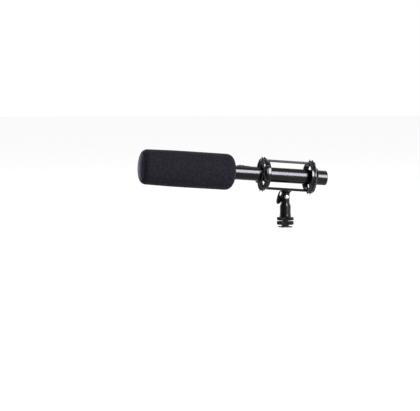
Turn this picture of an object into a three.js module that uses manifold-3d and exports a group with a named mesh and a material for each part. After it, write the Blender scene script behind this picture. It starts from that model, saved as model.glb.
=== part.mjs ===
// On-camera shotgun microphone: foam windscreen, elastic shock mount, swivel post and shoe foot.
// Millimetres, +Z up, +X toward the rear of the microphone, origin under the middle of the foot.

import * as THREE from 'three';
import { mergeVertices } from 'three/addons/utils/BufferGeometryUtils.js';
import Module from 'manifold-3d';

const wasm = await Module();
wasm.setup();

// Clearance, cuts and facets
const fit = 0.3;
const overrun = 2;
const weldDistance = 0.0005;
const roundSides = 30;
const turnedSides = 26;
const smallSides = 16;
const screwSides = 12;
const tinySides = 8;
const hornSides = 6;

// Shoe foot and stud
const footWidth = 18.6;
const footLength = 18;
const footThickness = 2;
const footCorner = 1.5;
const neckDiameter = 11.5;
const railGap = 2.2;
const studDiameter = 6.35;
const studSeatFloor = 0.9;
const studReach = 10;

// Clamp wheel and lock nut
const wheelDiameter = 26.5;
const wheelHeight = 5.8;
const wheelCollarDiameter = 9.6;
const nutDiameter = 26.5;
const nutHeight = 4.9;
const discGap = 1.3;
const discChamfer = 0.7;
const knurlCount = 28;
const knurlDepth = 0.6;

// Swivel sleeve
const sleeveDiameter = 17.3;
const collarDiameter = 18.3;
const collarHeight = 4.5;
const collarTaper = 0.8;
const sleeveHeight = 18.4;
const sleeveChamfer = 0.9;
const shoulderHeight = 2.2;
const insertDiameter = 9.4;
const insertLength = 11.5;

// Yoke and its stem
const yokeDiameter = 13.7;
const yokeWeb = 3;
const yokeShoulder = 2;
const stemDiameter = 9;
const stemLength = 7;
const earRadius = 6.4;
const earClearance = 0.6;
const forkDepth = 6.5;
const spotFaceDepth = 0.7;

// Pivot bolt and washers
const boltDiameter = 4;
const boltHeadDiameter = 6.6;
const boltHeadHeight = 2.2;
const boltCrownShare = 0.55;
const boltBevelShares = [0.1, 0.45];
const frictionWasherDiameter = 10;
const frictionWasherThickness = 0.8;
const leverWasherDiameter = 8.4;
const leverWasherThickness = 1;

// Lock lever
const leverHubDiameter = 8.4;
const leverHubLength = 5.8;
const leverHubChamfer = 0.8;
const leverInsertDiameter = 5.4;
const leverInsertLength = 4.4;
const leverReach = 10.4;
const leverDrop = 11.6;
const leverThickness = 3.6;
const leverOutlineShares = [
  [-0.46, 0.76], [-0.63, 0.53], [-0.77, 0.26], [-0.87, -0.02], [-0.94, -0.28],
  [-1, -0.57], [-0.97, -0.81], [-0.84, -1], [-0.64, -0.91], [-0.44, -0.72],
  [-0.1, -0.2], [-0.1, 0.1], [-0.5, 0.12], [-0.54, 0.4], [-0.44, 0.65],
];

// Cage bracket
const tongueThickness = 5;
const tongueRadius = 6.2;
const bracketDiameter = 18.1;
const bracketHeight = 2.7;
const bracketRim = 0.9;
const bracketWaist = 13.5;
const bracketFlareShares = [0.4, 0.7];
const bracketScrewSpacing = 7.2;

// Cage: two hoops and two bars
const hoopDiameter = 47.2;
const hoopWall = 2.8;
const hoopWidth = 5.2;
const hoopChamfer = 0.7;
const grooveWidth = 1.2;
const grooveDepth = 1.1;
const rimWidth = 2.4;
const cageLength = 84.6;
const barWidth = 8;
const topBarThickness = 4;
const bottomBarThickness = 4;
const barCorner = 1;
const seatStop = 0.9;
const padSide = 1.2;
const padGrip = 2.6;

// Countersunk screws
const screwDiameter = 2.2;
const screwHeadDiameter = 4.4;
const screwHeadHeight = 1.3;
const screwLength = 5.6;
const screwRecess = 0.15;

// Elastic bands and the horns that hold them
const bandDiameter = 1.7;
const bandSpread = 4.6;
const bandCount = 4;
const bandSides = 6;
const bandArcSteps = 4;
const hornOffset = THREE.MathUtils.degToRad(12.5);
const hornClearance = 0.5;
const hornHeight = 4.4;
const hornLeanShare = 0.5;
const hornTipShare = 0.75;

// Microphone
const restTilt = THREE.MathUtils.degToRad(4);
const tubeDiameter = 22;
const gripDiameter = 23.2;
const tubeWall = 1.8;
const tubeChamfer = 0.6;
const rearReach = 65;
const sleeveSeam = 38;
const bodyFront = 95;
const tipReach = 215;
const spigotLength = 9;
const spigotWall = 1.2;

// Interference tube
const slotCount = 11;
const slotLength = 6.4;
const slotWidth = 2.2;
const slotPitch = 9.2;
const tipCapLength = 4;
const tipSlotCount = 3;
const tipSlotWidth = 1.6;
const tipSlotPitch = 4.2;
const tipSlotLength = 12.6;
const screenWall = 0.5;

// Capsule and electronics
const capsuleDiameter = 15;
const capsuleLength = 7;
const capsuleRingLength = 4.5;
const boardLength = 46;
const boardWidth = 15;
const boardThickness = 1.6;
const boardPartWidth = 4.5;
const chassisWall = 1.4;
const batteryDiameter = 14.2;
const batteryLength = 49;
const batteryNubDiameter = 5.4;
const batteryNubLength = 1.4;
const contactThickness = 0.5;
const contactWidth = 9;
const transformerShare = 0.75;
const transformerWidth = 9;
const transformerHeight = 9.5;

// Output connector
const connectorBore = 16.1;
const connectorWall = 0.9;
const connectorDepth = 15;
const connectorFloor = 4;
const connectorInset = 0.5;
const pinDiameter = 2.4;
const pinCircle = 8.6;
const pinSpread = THREE.MathUtils.degToRad(62);
const pinLength = 12;

// Low-cut switch, status light and set screw
const bezelLength = 16;
const bezelWidth = 7;
const bezelProud = 0.6;
const bezelRear = 66.4;
const switchWidth = 3.6;
const switchLength = 6.6;
const switchProud = 0.9;
const switchTravel = 3;
const switchRidge = 1.5;
const lightDiameter = 2.4;
const lightProud = 0.7;
const lightPlace = 63.9;
const setScrewDiameter = 2.4;
const setScrewPlace = 60.8;

// Foam windscreen
const foamFront = 239.8;
const foamRear = 89.2;
const foamFrontDiameter = 54.6;
const foamRearDiameter = 56.6;
const foamFrontCorner = 9.5;
const foamRearLength = 17;
const foamFrontCrown = 1.2;
const foamCurveSteps = 5;
const foamRearPower = 3;

// Heights worked out from the stack
const wheelBottom = footThickness + railGap;
const nutBottom = wheelBottom + wheelHeight + discGap;
const sleeveBottom = nutBottom + nutHeight + fit;
const sleeveTop = sleeveBottom + sleeveHeight + sleeveChamfer + shoulderHeight;
const pivotHeight = sleeveTop + fit + yokeWeb + forkDepth;
const bracketBottom = earRadius + earClearance;
const hoopRadius = hoopDiameter / 2;
const axisHeight = bracketBottom + bracketHeight + fit + hoopRadius;

// Widths across the pivot, from the middle outward
const forkSlot = tongueThickness + 2 * frictionWasherThickness + 4 * fit;
const spotFace = yokeDiameter / 2 - spotFaceDepth;
const leverWasherStart = spotFace + fit;
const leverHubStart = leverWasherStart + leverWasherThickness + fit;

// Lengths along the cage and the microphone
const hoopOuterFace = cageLength / 2;
const hoopInnerFace = hoopOuterFace - rimWidth - grooveWidth - hoopWidth;
const seatEnd = hoopOuterFace - rimWidth - grooveWidth - seatStop;
const barReach = seatEnd - fit;
const barScrewPlace = hoopInnerFace + (barReach - hoopInnerFace) / 2;
const tubeRadius = tubeDiameter / 2;
const gripRadius = gripDiameter / 2;
const tubeBore = tubeRadius - tubeWall;
const spigotRadius = tubeBore - fit;
const spigotBore = spigotRadius - spigotWall;

const finishes = {
  satinBlack: ['#17181b', 0.34, 0.6],
  glossBlack: ['#0e0e11', 0.2, 0.1],
  mattBlack: ['#1d1d20', 0.6, 0],
  foam: ['#232228', 0.95, 0],
  rubber: ['#141416', 0.8, 0],
  steel: ['#c9cbd0', 0.25, 1],
  brass: ['#c2a055', 0.35, 1],
  board: ['#17563a', 0.5, 0],
  cell: ['#3c4f66', 0.4, 0.2],
  lens: ['#5c1512', 0.15, 0],
  mesh: ['#45464a', 0.7, 0.4],
};

function material(name) {
  const [color, roughness, metalness] = finishes[name];
  return new THREE.MeshStandardMaterial({ color, roughness, metalness });
}

// A closed body has its shared corners merged, no empty faces, and its faces pointing out
function closedBody(geometry) {
  const bare = new THREE.BufferGeometry();
  bare.setAttribute('position', geometry.getAttribute('position').clone());
  bare.setIndex(geometry.getIndex());
  const body = mergeVertices(bare, weldDistance);
  const position = body.getAttribute('position');
  const corners = body.getIndex().array;
  const faces = [];
  const a = new THREE.Vector3();
  const b = new THREE.Vector3();
  const c = new THREE.Vector3();
  let volume = 0;
  for (let i = 0; i < corners.length; i += 3) {
    const face = [corners[i], corners[i + 1], corners[i + 2]];
    if (new Set(face).size < 3) continue;
    a.fromBufferAttribute(position, face[0]);
    b.fromBufferAttribute(position, face[1]);
    c.fromBufferAttribute(position, face[2]);
    volume += a.dot(b.cross(c));
    faces.push(face);
  }
  body.setIndex((volume < 0 ? faces.map((face) => face.reverse()) : faces).flat());
  return body;
}

function solid(geometry) {
  const body = closedBody(geometry);
  const vertProperties = new Float32Array(body.getAttribute('position').array);
  const triVerts = new Uint32Array(body.getIndex().array);
  return new wasm.Manifold(new wasm.Mesh({ numProp: 3, vertProperties, triVerts }));
}

function surfaceOf(manifold) {
  const mesh = manifold.getMesh();
  const geometry = new THREE.BufferGeometry();
  geometry.setAttribute('position', new THREE.BufferAttribute(mesh.vertProperties, mesh.numProp));
  geometry.setIndex(Array.from(mesh.triVerts));
  return geometry;
}

function addPiece(parent, name, geometry, finish, place = [0, 0, 0]) {
  const mesh = new THREE.Mesh(closedBody(geometry), material(finish));
  mesh.name = name;
  mesh.position.set(...place);
  parent.add(mesh);
  return mesh;
}

// Turned shapes take [radius, distance] pairs and stand along Z until they are laid along X or Y
function turned(profile, sides = turnedSides) {
  const points = profile.map(([radius, distance]) => new THREE.Vector2(radius, distance));
  return new THREE.LatheGeometry(points, sides).rotateX(Math.PI / 2);
}

function alongX(geometry) {
  return geometry.rotateY(Math.PI / 2);
}

function alongY(geometry) {
  return geometry.rotateX(-Math.PI / 2);
}

function rod(radius, from, to, sides = smallSides) {
  return turned([[0, from], [radius, from], [radius, to], [0, to]], sides);
}

function hollow(outer, inner, from, to, sides = turnedSides) {
  return turned([[inner, from], [outer, from], [outer, to], [inner, to], [inner, from]], sides);
}

function box(width, depth, height, centre) {
  return new THREE.BoxGeometry(width, depth, height).translate(...centre);
}

function roundedPlate(length, width, corner) {
  const x = length / 2;
  const y = width / 2;
  const plate = new THREE.Shape();
  plate.moveTo(-x + corner, -y);
  plate.lineTo(x - corner, -y);
  plate.absarc(x - corner, -y + corner, corner, -Math.PI / 2, 0);
  plate.absarc(x - corner, y - corner, corner, 0, Math.PI / 2);
  plate.absarc(-x + corner, y - corner, corner, Math.PI / 2, Math.PI);
  plate.absarc(-x + corner, -y + corner, corner, Math.PI, 1.5 * Math.PI);
  return plate;
}

function extruded(shape, depth, curveSegments = tinySides / 2) {
  return new THREE.ExtrudeGeometry(shape, { depth, bevelEnabled: false, curveSegments });
}

// An outline drawn in X and Z, extruded evenly to both sides along Y
function extrudedAcross(shape, depth, curveSegments) {
  return extruded(shape, depth, curveSegments).translate(0, 0, -depth / 2).rotateX(Math.PI / 2);
}

// Foot, stud and the two knurled discs

function shoeFoot() {
  const plate = solid(extruded(roundedPlate(footLength, footWidth, footCorner), footThickness));
  const neck = solid(rod(neckDiameter / 2, studSeatFloor, wheelBottom - fit, turnedSides));
  const seat = solid(rod(studDiameter / 2 + fit, studSeatFloor, wheelBottom + overrun));
  return surfaceOf(plate.add(neck).subtract(seat));
}

function mountStud() {
  const from = studSeatFloor + fit;
  return rod(studDiameter / 2, from, sleeveBottom + studReach);
}

function knurledDisc(diameter, height) {
  const outline = new THREE.Shape();
  for (let i = 0; i < 2 * knurlCount; i += 1) {
    const angle = (i * Math.PI) / knurlCount;
    const radius = diameter / 2 - (i % 2) * knurlDepth;
    const point = [radius * Math.cos(angle), radius * Math.sin(angle)];
    if (i === 0) outline.moveTo(...point);
    else outline.lineTo(...point);
  }
  const bore = new THREE.Path();
  bore.absarc(0, 0, studDiameter / 2 + fit, 0, 2 * Math.PI, true);
  outline.holes.push(bore);
  const disc = new THREE.ExtrudeGeometry(outline, {
    depth: height - 2 * discChamfer,
    bevelThickness: discChamfer,
    bevelSize: discChamfer,
    bevelOffset: -discChamfer,
    bevelSegments: 1,
    curveSegments: smallSides / 2,
  });
  return disc.translate(0, 0, discChamfer);
}

function clampWheel() {
  const disc = solid(knurledDisc(wheelDiameter, wheelHeight));
  const collarTop = wheelHeight + discGap - fit;
  const bore = studDiameter / 2 + fit;
  const collar = solid(hollow(wheelCollarDiameter / 2, bore, wheelHeight / 2, collarTop));
  const drill = solid(rod(bore, -overrun, collarTop + overrun));
  return surfaceOf(disc.add(collar).subtract(drill));
}

function buildFoot(parent) {
  addPiece(parent, 'shoe_foot', shoeFoot(), 'satinBlack');
  addPiece(parent, 'mount_stud', mountStud(), 'steel');
  addPiece(parent, 'clamp_wheel', clampWheel(), 'glossBlack', [0, 0, wheelBottom]);
  addPiece(parent, 'lock_nut', knurledDisc(nutDiameter, nutHeight), 'glossBlack', [0, 0, nutBottom]);
}

// Post: sleeve, threaded insert and yoke

function swivelSleeve() {
  const collar = collarDiameter / 2;
  const barrel = sleeveDiameter / 2;
  const insertBore = insertDiameter / 2 + fit;
  const stemBore = stemDiameter / 2 + fit;
  const barrelTop = sleeveHeight;
  const top = sleeveTop - sleeveBottom;
  const insertRoof = insertLength + fit;
  const stemFloor = top - stemLength;
  const shoulder = yokeDiameter / 2 + fit;
  return turned([
    [0, insertRoof],
    [insertBore, insertRoof],
    [insertBore, 0],
    [collar, 0],
    [collar, collarHeight - collarTaper],
    [barrel, collarHeight],
    [barrel, barrelTop],
    [barrel - sleeveChamfer, barrelTop + sleeveChamfer],
    [shoulder, top],
    [stemBore, top],
    [stemBore, stemFloor],
    [0, stemFloor],
  ]);
}

function threadInsert() {
  return hollow(insertDiameter / 2, studDiameter / 2 + fit, 0, insertLength, smallSides);
}

function earOutline() {
  const half = yokeDiameter / 2;
  const outline = new THREE.Shape();
  outline.moveTo(-half, -forkDepth - yokeWeb);
  outline.lineTo(half, -forkDepth - yokeWeb);
  outline.lineTo(half, -yokeShoulder);
  outline.absarc(0, 0, earRadius, 0, Math.PI);
  outline.lineTo(-half, -yokeShoulder);
  return outline;
}

// The yoke is built round the pivot: a round column trimmed to two rounded ears on a stem
function yokeBody() {
  const base = -forkDepth - yokeWeb;
  const half = yokeDiameter / 2;
  const column = solid(rod(half, base, earRadius, turnedSides));
  const ears = solid(extrudedAcross(earOutline(), yokeDiameter + overrun, tinySides));
  const stem = solid(rod(stemDiameter / 2, base - stemLength + fit, base + yokeWeb / 2, smallSides));
  const slotHeight = forkDepth + earRadius + overrun;
  const slotCentre = slotHeight / 2 - forkDepth;
  const slot = solid(box(yokeDiameter + overrun, forkSlot, slotHeight, [0, 0, slotCentre]));
  const drill = solid(alongY(rod(boltDiameter / 2 + fit, -half - overrun, half + overrun)));
  const nearSpot = solid(alongY(rod(boltHeadDiameter / 2 + fit, -half - overrun, -spotFace)));
  const farSpot = solid(alongY(rod(leverWasherDiameter / 2 + fit, spotFace, half + overrun)));
  const body = column.intersect(ears).add(stem);
  return surfaceOf(body.subtract(slot).subtract(drill).subtract(nearSpot).subtract(farSpot));
}

function buildPost(parent) {
  const pivot = [0, 0, pivotHeight];
  addPiece(parent, 'swivel_sleeve', swivelSleeve(), 'satinBlack', [0, 0, sleeveBottom]);
  addPiece(parent, 'thread_insert', threadInsert(), 'brass', [0, 0, sleeveBottom]);
  addPiece(parent, 'yoke', yokeBody(), 'satinBlack', pivot);
  addPiece(parent, 'pivot_bolt', pivotBolt(), 'steel', pivot);
  addPiece(parent, 'lever_washer', leverWasher(), 'steel', pivot);
  const washerMiddle = tongueThickness / 2 + fit + frictionWasherThickness / 2;
  addPiece(parent, 'near_friction_washer', frictionWasher(), 'mattBlack', [0, -washerMiddle, pivotHeight]);
  addPiece(parent, 'far_friction_washer', frictionWasher(), 'mattBlack', [0, washerMiddle, pivotHeight]);
}

// Pivot bolt, washers and lock lever, all along Y through the pivot

function pivotBolt() {
  const shank = boltDiameter / 2;
  const head = boltHeadDiameter / 2;
  const seat = -spotFace - fit;
  const crown = seat - boltHeadHeight;
  const end = leverHubStart + leverInsertLength - fit;
  const [crownBevel, edgeBevel] = boltBevelShares.map((share) => crown + boltHeadHeight * share);
  return alongY(turned([
    [0, crown],
    [head * boltCrownShare, crownBevel],
    [head, edgeBevel],
    [head, seat],
    [shank, seat],
    [shank, end],
    [0, end],
  ], smallSides));
}

function frictionWasher() {
  const half = frictionWasherThickness / 2;
  return alongY(hollow(frictionWasherDiameter / 2, boltDiameter / 2 + fit, -half, half, smallSides));
}

function leverWasher() {
  const start = leverWasherStart;
  const end = start + leverWasherThickness;
  return alongY(hollow(leverWasherDiameter / 2, boltDiameter / 2 + fit, start, end, smallSides));
}

function leverHub() {
  const radius = leverHubDiameter / 2;
  const bore = leverInsertDiameter / 2 + fit;
  const end = leverHubStart + leverHubLength;
  const floor = leverHubStart + leverInsertLength + fit;
  return alongY(turned([
    [0, floor],
    [bore, floor],
    [bore, leverHubStart],
    [radius - leverHubChamfer, leverHubStart],
    [radius, leverHubStart + leverHubChamfer],
    [radius, end - leverHubChamfer],
    [radius - leverHubChamfer, end],
    [0, end],
  ], smallSides));
}

// A leaf-shaped paddle beside the hub, pointed at the top and widest near its foot
function leverPaddle() {
  const outline = new THREE.Shape(leverOutlineShares.map(([across, up]) => (
    new THREE.Vector2(leverReach * across, leverDrop * up)
  )));
  const middle = leverHubStart + leverHubLength - leverThickness / 2;
  return extrudedAcross(outline, leverThickness, tinySides).translate(0, middle, 0);
}

function lockLever() {
  return surfaceOf(solid(leverHub()).add(solid(leverPaddle()).subtract(leverBoreTool())));
}

function leverBoreTool() {
  const floor = leverHubStart + leverInsertLength + fit;
  return solid(alongY(rod(leverInsertDiameter / 2 + fit, 0, floor)));
}

function leverInsert() {
  const end = leverHubStart + leverInsertLength;
  return alongY(hollow(leverInsertDiameter / 2, boltDiameter / 2 + fit, leverHubStart, end, smallSides));
}

function buildLever(parent) {
  const pivot = [0, 0, pivotHeight];
  addPiece(parent, 'lock_lever', lockLever(), 'mattBlack', pivot);
  addPiece(parent, 'lever_insert', leverInsert(), 'steel', pivot);
}

// Cage: bracket, bars, hoops, screws and bands, in the frame that tilts round the pivot

function screwAt(radiusGap, lengthGap) {
  return turned([
    [0, -screwLength - lengthGap],
    [screwDiameter / 2 + radiusGap, -screwLength - lengthGap],
    [screwDiameter / 2 + radiusGap, -screwHeadHeight],
    [screwHeadDiameter / 2 + radiusGap, 0],
    [screwHeadDiameter / 2 + radiusGap, radiusGap],
    [0, radiusGap],
  ], screwSides);
}

function screwBody() {
  return turned([
    [0, -screwLength],
    [screwDiameter / 2, -screwLength],
    [screwDiameter / 2, -screwHeadHeight],
    [screwHeadDiameter / 2, 0],
    [0, 0],
  ], screwSides);
}

function tongueOutline() {
  const outline = new THREE.Shape();
  outline.moveTo(-tongueRadius, bracketBottom + bracketHeight / 2);
  outline.lineTo(-tongueRadius, 0);
  outline.absarc(0, 0, tongueRadius, Math.PI, 2 * Math.PI);
  outline.lineTo(tongueRadius, bracketBottom + bracketHeight / 2);
  return outline;
}

function cageBracket() {
  const top = bracketBottom + bracketHeight;
  const rim = bracketDiameter / 2;
  const waist = bracketWaist / 2;
  const [outShare, upShare] = bracketFlareShares;
  const flange = solid(turned([
    [0, bracketBottom],
    [waist, bracketBottom],
    [waist + (rim - waist) * outShare, bracketBottom + (bracketHeight - bracketRim) * upShare],
    [rim, top - bracketRim],
    [rim, top],
    [0, top],
  ]));
  const tongue = solid(extrudedAcross(tongueOutline(), tongueThickness, tinySides));
  const reach = tongueThickness + overrun;
  let body = flange.add(tongue).subtract(solid(alongY(rod(boltDiameter / 2 + fit, -reach, reach))));
  for (const side of [-1, 1]) {
    const head = axisHeight - hoopRadius + bottomBarThickness - screwRecess;
    const hole = screwAt(fit, fit).translate((side * bracketScrewSpacing) / 2, 0, head);
    body = body.subtract(solid(hole));
  }
  return surfaceOf(body);
}

// A bar lies with its outer face at zero height, pierced near both ends for its hoop screws
function cageBar(thickness) {
  const plate = extruded(roundedPlate(2 * barReach, barWidth, barCorner), thickness);
  let body = solid(plate.translate(0, 0, -thickness));
  for (const side of [-1, 1]) {
    const hole = screwAt(fit, overrun).translate(side * barScrewPlace, 0, -screwRecess);
    body = body.subtract(solid(hole));
  }
  return body;
}

function bottomBar() {
  let body = cageBar(bottomBarThickness);
  for (const side of [-1, 1]) {
    const hole = screwAt(fit, overrun).rotateX(Math.PI);
    hole.translate((side * bracketScrewSpacing) / 2, 0, -bottomBarThickness + screwRecess);
    body = body.subtract(solid(hole));
  }
  return surfaceOf(body).rotateX(Math.PI);
}

function hoopProfile() {
  const outer = hoopRadius;
  const inner = hoopRadius - hoopWall;
  const floor = outer - grooveDepth;
  const bodyEnd = hoopInnerFace + hoopWidth;
  const rimStart = bodyEnd + grooveWidth;
  return [
    [inner, hoopInnerFace],
    [outer - hoopChamfer, hoopInnerFace],
    [outer, hoopInnerFace + hoopChamfer],
    [outer, bodyEnd],
    [floor, bodyEnd],
    [floor, rimStart],
    [outer, rimStart],
    [outer, hoopOuterFace - hoopChamfer],
    [outer - hoopChamfer, hoopOuterFace],
    [inner, hoopOuterFace],
    [inner, hoopInnerFace],
  ];
}

// Band ends lie above the hoop's rim, where a horn stands in each of them
const bandLoopRadius = hoopRadius + bandDiameter / 2 + hornClearance;
const bandPlane = hoopOuterFace + bandDiameter / 2 + fit;
const hornPlace = hoopOuterFace - rimWidth;
const hornRadius = (bandSpread - bandDiameter) / 2 - fit;
const bandEdgeRadius = bandLoopRadius - bandDiameter / 2;


// The inner strands clear the sleeve, the widest part of the tube that slides between them
const strandDistance = gripRadius + fit + bandDiameter / 2;
const hornSpan = Math.acos(strandDistance / bandEdgeRadius) - bandSpread / (2 * bandLoopRadius);

// Two bands cross on each side: one starts beside the top of the hoop, one beside its bottom
function bandNormal(index) {
  const slant = hornOffset + hornSpan;
  const turn = index < bandCount / 2 ? 0 : Math.PI;
  return turn + (index % 2 ? Math.PI - slant : slant);
}

// Horns stand out from the hoop and lean the same way on both hoops
function horn(angle, lean) {
  const root = hoopRadius - hoopWall / 2;
  const tip = hoopRadius + hornHeight;
  const post = new THREE.CylinderGeometry(hornRadius * hornTipShare, hornRadius, tip - root, hornSides);
  post.rotateX(Math.PI / 2).translate(0, 0, (tip + root) / 2 - bandLoopRadius);
  const slope = new THREE.Matrix4().makeShear(0, 0, 0, 0, lean, 0);
  post.applyMatrix4(slope).translate(hornPlace, 0, bandLoopRadius);
  return solid(post.rotateX(angle));
}

// One hoop faces +X; the front hoop is its mirror image, apart from the horns' lean
function hoop(lean) {
  let body = solid(alongX(turned(hoopProfile(), roundSides)));
  const bars = [[topBarThickness, 0], [bottomBarThickness, Math.PI]];
  for (const [thickness, turn] of bars) {
    const floor = hoopRadius - thickness - fit;
    const padWidth = barWidth + 2 * fit + 2 * padSide;
    const padHeight = padGrip + thickness + fit - hoopWall / 2;
    const padCentre = [hoopInnerFace + hoopWidth / 2, 0, floor - padGrip + padHeight / 2];
    const pad = box(hoopWidth, padWidth, padHeight, padCentre);
    const seatLength = seatEnd - hoopInnerFace + overrun;
    const seatHeight = thickness + fit + overrun;
    const seatCentre = [seatEnd - seatLength / 2, 0, floor + seatHeight / 2];
    const seat = box(seatLength, barWidth + 2 * fit, seatHeight, seatCentre);
    const hole = screwAt(fit, fit).translate(barScrewPlace, 0, hoopRadius - screwRecess);
    body = body.add(solid(pad.rotateX(turn)));
    body = body.subtract(solid(seat.rotateX(turn))).subtract(solid(hole.rotateX(turn)));
  }
  for (let index = 0; index < bandCount; index += 1) {
    body = body.add(horn(bandNormal(index) + hornSpan, lean));
    body = body.add(horn(bandNormal(index) - hornSpan, lean));
  }
  return body;
}

function bandPoint(angle, radius, x) {
  return new THREE.Vector3(x, -radius * Math.sin(angle), radius * Math.cos(angle));
}

// A band's end drops over the rim and turns round its horn
function bandEnd(normal, end, plane) {
  const points = [];
  const half = bandSpread / 2;
  const turnAngle = (offset) => normal + end * (hornSpan + offset / bandLoopRadius);
  points.push(bandPoint(turnAngle(half), bandEdgeRadius, plane));
  for (let i = 0; i <= bandArcSteps; i += 1) {
    const sweep = (i * Math.PI) / bandArcSteps;
    const angle = turnAngle(half * Math.cos(sweep));
    points.push(bandPoint(angle, bandLoopRadius, hornPlace - half * Math.sin(sweep)));
  }
  points.push(bandPoint(turnAngle(-half), bandEdgeRadius, plane));
  return points;
}

// A closed tube round a loop of points, carried along without twist and closed evenly
function loopTube(points, radius, sides) {
  const count = points.length;
  const tangents = points.map((point, i) => {
    const before = points[(i + count - 1) % count];
    const after = points[(i + 1) % count];
    const arriving = point.clone().sub(before).normalize();
    return arriving.add(after.clone().sub(point).normalize()).normalize();
  });
  const normals = [new THREE.Vector3().crossVectors(tangents[0], new THREE.Vector3(1, 0, 0)).normalize()];
  const turnBetween = new THREE.Quaternion();
  for (let i = 1; i <= count; i += 1) {
    turnBetween.setFromUnitVectors(tangents[i - 1], tangents[i % count]);
    normals.push(normals[i - 1].clone().applyQuaternion(turnBetween));
  }
  const side = new THREE.Vector3().crossVectors(tangents[0], normals[0]);
  const excess = Math.atan2(normals[count].dot(side), normals[count].dot(normals[0]));
  const vertices = [];
  const faces = [];
  for (let i = 0; i < count; i += 1) {
    const binormal = new THREE.Vector3().crossVectors(tangents[i], normals[i]);
    for (let j = 0; j < sides; j += 1) {
      const angle = (2 * Math.PI * j) / sides - (excess * i) / count;
      const offset = normals[i].clone().multiplyScalar(Math.cos(angle));
      offset.addScaledVector(binormal, Math.sin(angle)).multiplyScalar(radius);
      vertices.push(...offset.add(points[i]).toArray());
      const next = ((i + 1) % count) * sides;
      const a = i * sides + j;
      const b = i * sides + ((j + 1) % sides);
      const c = next + ((j + 1) % sides);
      const d = next + j;
      faces.push(a, b, c, a, c, d);
    }
  }
  const tube = new THREE.BufferGeometry();
  tube.setAttribute('position', new THREE.Float32BufferAttribute(vertices, 3));
  tube.setIndex(faces);
  return tube;
}

// Neighbouring bands cross, so every second one lies in front
function elasticBand(index) {
  const normal = bandNormal(index);
  const plane = bandPlane + (index % 2) * (bandDiameter + fit);
  const points = [...bandEnd(normal, 1, plane), ...bandEnd(normal, -1, plane).reverse()];
  return loopTube(points, bandDiameter / 2, bandSides);
}

function buildCage(parent) {
  const underBar = axisHeight - hoopRadius;
  const overBar = axisHeight + hoopRadius;
  addPiece(parent, 'cage_bracket', cageBracket(), 'satinBlack');
  addPiece(parent, 'bottom_bar', bottomBar(), 'glossBlack', [0, 0, underBar]);
  addPiece(parent, 'top_bar', surfaceOf(cageBar(topBarThickness)), 'glossBlack', [0, 0, overBar]);
  for (const [end, side] of [['front', -1], ['rear', 1]]) {
    const ring = surfaceOf(hoop(-side * hornLeanShare)).scale(side, 1, 1);
    addPiece(parent, `${end}_hoop`, ring, 'glossBlack', [0, 0, axisHeight]);
    const bracketHead = underBar + bottomBarThickness - screwRecess;
    const bracketPlace = [(side * bracketScrewSpacing) / 2, 0, bracketHead];
    const topPlace = [side * barScrewPlace, 0, overBar - screwRecess];
    const bottomPlace = [side * barScrewPlace, 0, underBar + screwRecess];
    addPiece(parent, `bracket_screw_${end}`, screwBody(), 'steel', bracketPlace);
    addPiece(parent, `top_screw_${end}`, screwBody(), 'steel', topPlace);
    addPiece(parent, `bottom_screw_${end}`, screwBody().rotateX(Math.PI), 'steel', bottomPlace);
    for (let index = 0; index < bandCount; index += 1) {
      const band = elasticBand(index).scale(side, 1, 1);
      addPiece(parent, `${end}_band_${index + 1}`, band, 'rubber', [0, 0, axisHeight]);
    }
  }
}

// Microphone body, in a frame whose X axis is the microphone's own

function bodyTube() {
  const shell = solid(alongX(turned([
    [tubeBore, -bodyFront],
    [tubeRadius, -bodyFront],
    [tubeRadius, -sleeveSeam],
    [spigotRadius, -sleeveSeam],
    [spigotRadius, -sleeveSeam + spigotLength],
    [spigotBore, -sleeveSeam + spigotLength],
    [spigotBore, -sleeveSeam - spigotWall],
    [tubeBore, -sleeveSeam - spigotWall],
    [tubeBore, -bodyFront],
  ])));
  const windowLength = bezelLength - 2 * switchRidge;
  const windowCentre = [-bezelRear - bezelLength / 2, 0, tubeRadius];
  const window = box(windowLength, bezelWidth - switchRidge, 2 * tubeWall + overrun, windowCentre);
  const light = rod(lightDiameter / 2 + fit, 0, tubeRadius + overrun, tinySides);
  const screw = rod(setScrewDiameter / 2 + fit, -tubeRadius - overrun, 0, tinySides);
  light.translate(-lightPlace, 0, 0);
  screw.translate(-setScrewPlace, 0, 0);
  return surfaceOf(shell.subtract(solid(window)).subtract(solid(light)).subtract(solid(screw)));
}

function slottedTube() {
  const tubeEnd = -tipReach + tipCapLength + fit;
  const shoulder = -bodyFront - fit;
  let tube = solid(alongX(turned([
    [tubeBore, tubeEnd],
    [tubeRadius, tubeEnd],
    [tubeRadius, shoulder],
    [spigotRadius, shoulder],
    [spigotRadius, shoulder + spigotLength],
    [spigotBore, shoulder + spigotLength],
    [spigotBore, shoulder - spigotWall],
    [tubeBore, shoulder - spigotWall],
    [tubeBore, tubeEnd],
  ])));
  for (let i = 0; i < slotCount; i += 1) {
    const place = tubeEnd + slotPitch * (i + 1 / 2);
    const cut = box(slotLength, tubeDiameter + overrun, slotWidth, [place, 0, 0]);
    tube = tube.subtract(solid(cut));
  }
  return surfaceOf(tube);
}

function tipCap() {
  const rim = -tipReach + tipCapLength;
  let cap = solid(alongX(turned([
    [0, -tipReach],
    [tubeRadius - tubeChamfer, -tipReach],
    [tubeRadius, -tipReach + tubeChamfer],
    [tubeRadius, rim],
    [tubeBore - fit, rim],
    [tubeBore - fit, rim + tubeWall],
    [tubeBore - fit - tubeWall, rim + tubeWall],
    [tubeBore - fit - tubeWall, -tipReach + tubeWall],
    [0, -tipReach + tubeWall],
  ])));
  for (let i = 0; i < tipSlotCount; i += 1) {
    const height = (i - (tipSlotCount - 1) / 2) * tipSlotPitch;
    const cut = box(2 * tubeWall + overrun, tipSlotLength, tipSlotWidth, [-tipReach, 0, height]);
    cap = cap.subtract(solid(cut));
  }
  return surfaceOf(cap);
}

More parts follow.
